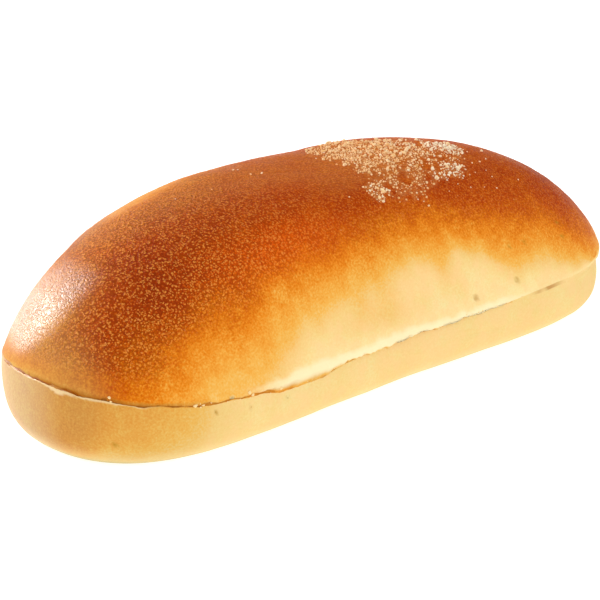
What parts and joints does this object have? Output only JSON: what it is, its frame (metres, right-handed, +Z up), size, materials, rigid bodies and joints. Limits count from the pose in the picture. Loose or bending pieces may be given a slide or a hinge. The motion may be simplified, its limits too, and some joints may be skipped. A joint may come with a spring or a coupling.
{
  "type": "butter bun",
  "caption": "Long soft butter bun with a browned domed top, a torn crease all round, a low pale base and a dusting of coarse flour near the ridge.",
  "frame": {"origin": "centre of the bounding box at the level the bun rests on", "axes": "+X along the bun from its blunter, higher-rimmed end to the end under the flour, -Y towards the side with the overhanging lip, +Z up"},
  "size_m": [0.1348, 0.0562, 0.0373],
  "materials": {
    "crust": "baked, from golden base to brown top, lightly buttered"
  },
  "bodies": {
    "root": {"bun": "crust"}
  },
  "joints": []
}
